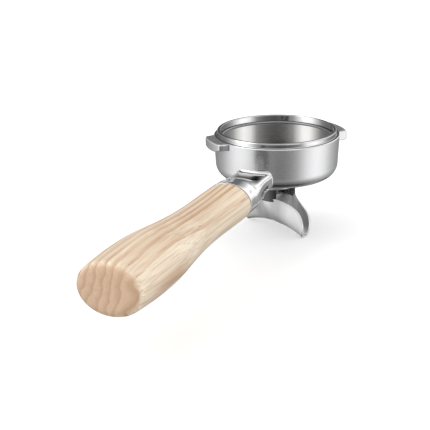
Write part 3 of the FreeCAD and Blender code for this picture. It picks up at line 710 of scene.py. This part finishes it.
def make_grip():
    """The wooden handle: a slim front, a waist and a full butt with a rounded end."""
    segments = 144
    length = GRIP_FRONT - GRIP_END
    rings = [oval(GRIP_BORE, GRIP_FRONT - 2.0, segments)]
    rings += [oval(half, GRIP_FRONT, segments) for half in (GRIP_BORE, 8.0, 10.5, 12.3)]
    for angle in np.radians(np.linspace(0, 90, 5)):
        half = 13.0 - 0.4 * (1 - math.sin(angle))
        rings.append(oval(half, GRIP_FRONT - 0.4 * (1 - math.cos(angle)), segments))
    for share in np.linspace(0.006, 1 - GRIP_ROUNDING / length, 110):
        rings.append(oval(grip_half(share), GRIP_FRONT - length * share, segments))
    for angle in np.radians(np.linspace(8, 90, 11)):
        y = GRIP_END + GRIP_ROUNDING * (1 - math.sin(angle))
        inset = GRIP_ROUNDING * (1 - math.cos(angle))
        whole = grip_half((GRIP_FRONT - y) / length)
        rings.append(oval(whole - inset, y, segments, (whole * ASPECT - inset) / (whole - inset)))
    flat_half = grip_half(1.0) - GRIP_ROUNDING
    flat_aspect = (grip_half(1.0) * ASPECT - GRIP_ROUNDING) / flat_half
    for scale in (0.97, 0.85, 0.65, 0.4, 0.15, 0.02):
        rings.append(oval(flat_half * scale, GRIP_END, segments, flat_aspect))
    points, faces = join_rings(rings)
    piece = make_object("grip", points, faces, "holder", ASH, ["wood_handle"])
    piece.visible_glossy = False


# ---------------------------------------------------------------- the spout

# The top edge of one arm: distance from the middle, height and half width, down to the tip's lowest point.
SPOUT_EDGE = [
    (0.0, -36.9, 10.8), (4.0, -37.5, 9.7), (7.5, -38.6, 7.9), (10.5, -39.6, 6.3), (14.0, -40.8, 5.0),
    (17.5, -42.2, 4.3), (20.3, -43.8, 3.95), (22.3, -46.0, 3.7), (23.5, -48.8, 3.5), (23.9, -51.6, 3.3),
    (23.7, -54.2, 3.0), (23.0, -56.7, 2.2), (22.45, -58.0, 1.2), (22.2, -58.6, 0.0),
]
# The arch under both arms: the depth of its crown and its radius.
KEEL_CROWN = 54.3
KEEL_RADIUS = 58.5
SPOUT_WALL = 1.1
SPOUT_FLOOR = 1.8
SPOUT_TIP = -58.66
HUB_RADIUS = 10.6
HUB_BORE = 8.35
HUB_TOP = -29.05
HUB_FOOT = -39.9
WINDOW_TOP = -32.6
WINDOW_HALF = 7.4
DIVIDER_HALF = 0.7
DIVIDER_REACH = 9.3
DIVIDER_TOP = -38.5
DIVIDER_FOOT = -51.5


def turned(points):
    """Points of the spout turned from its own axes into the part's frame."""
    angle = math.radians(SPOUT_ANGLE)
    points = np.asarray(points, float)
    x = points[:, 0] * math.cos(angle) - points[:, 1] * math.sin(angle)
    y = points[:, 0] * math.sin(angle) + points[:, 1] * math.cos(angle)
    return np.stack([x, y, points[:, 2]], 1)


def through(knots, steps):
    """A smooth curve through knots, with steps points evenly shared along it."""
    knots = np.asarray(knots, float)
    padded = np.vstack([2 * knots[0] - knots[1], knots, 2 * knots[-1] - knots[-2]])
    dense = []
    for k in range(1, len(padded) - 2):
        before, here, after, last = padded[k - 1:k + 3]
        for t in np.linspace(0, 1, 24, endpoint=False):
            dense.append(0.5 * (
                2 * here + (after - before) * t
                + (2 * before - 5 * here + 4 * after - last) * t ** 2
                + (3 * here - before - 3 * after + last) * t ** 3
            ))
    dense = np.array(dense + [knots[-1]])
    length = np.concatenate([[0], np.cumsum(np.linalg.norm(np.diff(dense, axis=0), axis=1))])
    even = np.linspace(0, length[-1], steps)
    return np.stack([np.interp(even, length, dense[:, k]) for k in range(dense.shape[1])], 1)


def keel_under(x, z, lift):
    """The point of the keel's arch straight towards its far centre from a point of the edge."""
    centre = -(KEEL_CROWN + KEEL_RADIUS)
    reach = np.hypot(x, z - centre)
    return x * (KEEL_RADIUS + lift) / reach, centre + (z - centre) * (KEEL_RADIUS + lift) / reach


def trough_half(x, z, half, lift, fullness, steps):
    """Half a section of the trough, from its keel up to its edge, as (x, y, z) rows."""
    keel_x, keel_z = keel_under(x, z, lift)
    turn = np.linspace(0, math.pi / 2, steps)
    across = np.sin(turn) ** (2 / fullness)
    up = 1 - np.cos(turn) ** (2 / fullness)
    return np.stack([keel_x + (x - keel_x) * up, half * across, keel_z + (z - keel_z) * up], 1)


def mirrored(points):
    """The same points on the other side of the spout's middle plane."""
    return points * np.array([1, -1, 1])


def make_trough():
    """The open trough of the two arms: a keeled skin, an inner skin and a rounded lip between."""
    arm = through(SPOUT_EDGE, 90)
    whole = np.vstack([arm[:0:-1] * np.array([-1, 1, 1]), arm])
    steps = 22
    rings = []
    for x, z, half in whole:
        fullness = 1.7 + 0.9 * min(abs(x) / 16.0, 1.0)
        tip = smooth_step(-z, 50.0, -SPOUT_TIP)
        inner_half = half * max(1 - SPOUT_WALL / max(half, 1.7), 0.0)
        inner_x = x - np.sign(x) * 0.25 * tip
        inner_z = z + 1.25 * smooth_step(-z, 56.0, -SPOUT_TIP)
        keel_x, keel_z = keel_under(x, z, 0.0)
        depth = math.hypot(x - keel_x, z - keel_z)
        lift = min(SPOUT_FLOOR + 2.2 * tip, depth * 0.45 + 0.9) if depth > 1.5 else 0.9
        outer = trough_half(x, z, half, 0.0, fullness, steps)
        inner = trough_half(inner_x, inner_z, inner_half, lift, fullness, steps)
        lip = min(0.45, (half - inner_half) * 0.45 + 0.02)
        crest = []
        for share in np.linspace(0, 1, 7)[1:-1]:
            middle = outer[-1] + (inner[-1] - outer[-1]) * share
            rise = lip * math.sin(math.pi * share) ** 0.6
            forward = math.copysign(0.4 * rise * tip, x)
            crest.append(middle + np.array([forward, 0, rise * (1 - 0.6 * tip)]))
        crest = np.array(crest)
        near = np.vstack([mirrored(outer)[::-1], outer[1:], crest, inner[::-1], mirrored(inner)[1:]])
        rings.append(turned(np.vstack([near, mirrored(crest)[::-1]])))
    points, faces = join_rings(rings)
    make_object("spout_arms", points, faces, "spout", CAST, ["double_spout"], 70.0)


def tube_section(outer_bearing, inner_bearing, foot):
    """One upright section of the hub's wall, with eased edges, from its top down to a foot and up again."""
    ease, soft = 0.25, 0.07
    side = [(ease, HUB_TOP), (soft, HUB_TOP - soft), (0, HUB_TOP - ease)]
    side += [(0, z) for z in np.linspace(HUB_TOP - 0.6, foot + 0.6, 6)]
    side += [(0, foot + ease), (soft, foot + soft), (ease, foot)]
    outside = [(HUB_RADIUS - inset, outer_bearing, z) for inset, z in side]
    inside = [(HUB_BORE + inset, inner_bearing, z) for inset, z in reversed(side)]
    return [(r * math.cos(bearing), r * math.sin(bearing), z) for r, bearing, z in outside + inside]


def make_spout_hub():
    """The spout's threaded tube, cut away over each channel."""
    outer_jamb = math.asin(WINDOW_HALF / HUB_RADIUS)
    inner_jamb = math.asin(WINDOW_HALF / HUB_BORE)
    square = math.pi / 2
    shares = np.linspace(0, 1, 20)
    quarter = [(share * outer_jamb, share * inner_jamb, WINDOW_TOP) for share in shares]
    for share in shares:
        outer, inner = (jamb + share * (square - jamb) for jamb in (outer_jamb, inner_jamb))
        quarter.append((outer, inner, HUB_FOOT))
    opposite = [(square - outer, square - inner, foot) for outer, inner, foot in reversed(quarter)]
    rings = []
    for index, sections in enumerate((quarter, opposite, quarter, opposite)):
        start = index * square
        for outer, inner, foot in sections:
            rings.append(turned(tube_section(start + outer, start + inner, foot)))
    points, faces = join_rings(rings, loop=True)
    make_object("spout_hub", points, faces, "spout", HUB, ["double_spout"], 35.0)


def make_divider():
    """The low wall that shares the coffee between the channels."""
    rings = []
    for y in np.linspace(-DIVIDER_REACH, DIVIDER_REACH, 30):
        top = DIVIDER_TOP - 0.6 * smooth_step(abs(y), 7.0, DIVIDER_REACH)
        foot = DIVIDER_FOOT + 8.0 * (y / DIVIDER_REACH) ** 2
        side = [(1.0, foot), (1.0, top - 0.6), (0.75, top - 0.15)]
        ring = [(-DIVIDER_HALF * share, y, z) for share, z in side] + [(0, y, top)]
        ring += [(DIVIDER_HALF * share, y, z) for share, z in reversed(side)]
        rings.append(turned(ring))
    points, faces = join_rings(rings)
    make_object("spout_divider", points, faces, "spout", CAST, ["double_spout"], 50.0)


# ---------------------------------------------------------------- build

make_cup()
make_ear("ear_far", EAR_ANGLE)
make_ear("ear_near", EAR_ANGLE + 180.0)
make_neck()
make_spring()
make_joint_ring()
make_grip()
make_trough()
make_spout_hub()
make_divider()
for node, material in (
    ("outlet_nipple", POLISHED), ("spout_washer", GASKET),
    ("handle_stud", TURNED), ("threaded_insert", BRASS),
):
    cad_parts[node].material_slots[0].material = material


# ---------------------------------------------------------------- stage, light and camera

# The floor's half width and its height just under the spout's tips, in metres.
FLOOR_SIZE = 6.0
FLOOR_LEVEL = -0.0592


def make_floor():
    """A pale floor just under the spout's tips."""
    corners = [(-1, -1), (1, -1), (1, 1), (-1, 1)]
    mesh = bpy.data.meshes.new("floor")
    points = [(x * FLOOR_SIZE, y * FLOOR_SIZE, FLOOR_LEVEL) for x, y in corners]
    mesh.from_pydata(points, [], [(0, 1, 2, 3)])
    floor = bpy.data.objects.new("floor", mesh)
    bpy.context.scene.collection.objects.link(floor)
    material = bpy.data.materials.new("floor_paper")
    n = Nodes(material)
    grain = n.noise((300.0, 300.0, 300.0))
    n.set(Base_Color=n.mix(grain, (0.90, 0.90, 0.90), (0.93, 0.93, 0.93)), Roughness=0.9)
    n.set(Emission_Color=(1.0, 1.0, 1.0), Emission_Strength=0.16)
    mesh.materials.append(material)
    floor.visible_glossy = False
    floor.visible_diffuse = False


# How bright the metal sees the studio below and above the horizon, by bearing in degrees from +Y towards +X.
LOW_BANDS = [
    (-180, 0.35), (-160, 0.72), (-140, 1.10), (-120, 1.10), (-100, 0.74), (-80, 0.42), (-50, 0.26),
    (-15, 0.24), (15, 0.32), (40, 0.56), (60, 1.00), (78, 1.20), (95, 1.05), (108, 0.74), (120, 0.40),
    (135, 0.22), (155, 0.155), (170, 0.25), (180, 0.35),
]
HIGH_BANDS = [
    (-180, 0.55), (-120, 0.95), (-70, 0.50), (-48, 0.16), (-12, 0.16), (0, 0.60), (10, 1.30), (48, 1.30),
    (62, 0.55), (90, 0.85), (130, 0.45), (180, 0.55),
]
# By height, from straight down to straight up.
HIGH_SHARE = [(0.0, 0.0), (0.46, 0.0), (0.54, 1.0), (1.0, 1.0)]
STRIP_SHARE = [(0.0, 0.0), (0.45, 0.0), (0.485, 0.75), (0.525, 0.75), (0.56, 0.0), (1.0, 0.0)]
GROUND_SHARE = [(0.0, 1.0), (0.12, 0.85), (0.27, 0.0), (1.0, 0.0)]
GROUND_LEVEL = [(0.0, 0.06), (0.06, 0.16), (0.16, 0.40), (1.0, 0.40)]
WHITE_SHARE = [(0.0, 0.0), (0.82, 0.0), (0.90, 0.9), (1.0, 1.0)]
# Light that falls on wood and floor, by the same heights.
FILL_LEVEL = [(0.0, 0.80), (0.40, 0.84), (0.55, 0.98), (1.0, 1.10)]


def make_world():
    """A white studio; the metal sees it divided into soft light and dark bands."""
    world = bpy.data.worlds.new("studio")
    bpy.context.scene.world = world
    n = Nodes(world, "ShaderNodeBackground", "ShaderNodeOutputWorld", "Generated")
    x, y, z = n.xyz()
    bearing = n.range(n.math("ARCTAN2", x, y), -math.pi, math.pi, 0.0, 1.0)
    height = n.range(z, -1.0, 1.0, 0.0, 1.0)

    def by_bearing(bands):
        return n.ramp(bearing, grey_stops(bands, 180.0, 360.0))

    def by_height(levels):
        return n.ramp(height, grey_stops(levels))

    seen = n.mix(by_height(HIGH_SHARE), by_bearing(LOW_BANDS), by_bearing(HIGH_BANDS))
    seen = n.mix(by_height(GROUND_SHARE), seen, by_height(GROUND_LEVEL))
    for share in (STRIP_SHARE, WHITE_SHARE):
        seen = n.mix(by_height(share), seen, (1.0, 1.0, 1.0))
    glossy = n.add("ShaderNodeLightPath").outputs["Is Glossy Ray"]
    n.link(n.mix(glossy, by_height(FILL_LEVEL), seen), n.shader.inputs["Color"])


def add_light(name, place, target, size, power):
    """A rectangular area light aimed at a point."""
    data = bpy.data.lights.new(name, "AREA")
    data.shape = "RECTANGLE"
    data.size, data.size_y = size
    data.energy = power
    light = bpy.data.objects.new(name, data)
    light.location = place
    light.rotation_euler = (Vector(target) - Vector(place)).to_track_quat("-Z", "Y").to_euler()
    bpy.context.scene.collection.objects.link(light)


def make_camera():
    """The camera, from its bearing, height and small turns away from the aim point."""
    bearing, height = math.radians(20.886), math.radians(15.322)
    turn, dip = math.radians(-3.315), math.radians(-3.734)
    distance = 0.5964
    aim = Vector((0, 0, -0.010))
    level = math.cos(height)
    back = Vector((math.sin(bearing) * level, -math.cos(bearing) * level, math.sin(height)))
    forward = -back
    right = forward.cross(Vector((0, 0, 1))).normalized()
    up = right.cross(forward)
    forward, right = (
        forward * math.cos(turn) + right * math.sin(turn), right * math.cos(turn) - forward * math.sin(turn)
    )
    forward, up = forward * math.cos(dip) + up * math.sin(dip), up * math.cos(dip) - forward * math.sin(dip)
    data = bpy.data.cameras.new("camera")
    data.sensor_width = 36.0
    data.lens = 88.81534884
    camera = bpy.data.objects.new("camera", data)
    rotation = Matrix((right, up, -forward)).transposed().to_4x4()
    camera.matrix_world = Matrix.Translation(aim + back * distance) @ rotation
    bpy.context.scene.collection.objects.link(camera)
    bpy.context.scene.camera = camera


make_floor()
make_world()
add_light("key", (-0.9, -0.6, 1.1), (0, -0.05, 0), (0.9, 0.9), 5.0)
add_light("fill", (1.2, -0.9, 0.7), (0, -0.05, 0), (0.8, 1.0), 2.0)
make_camera()
bpy.context.scene.view_settings.view_transform = "Standard"
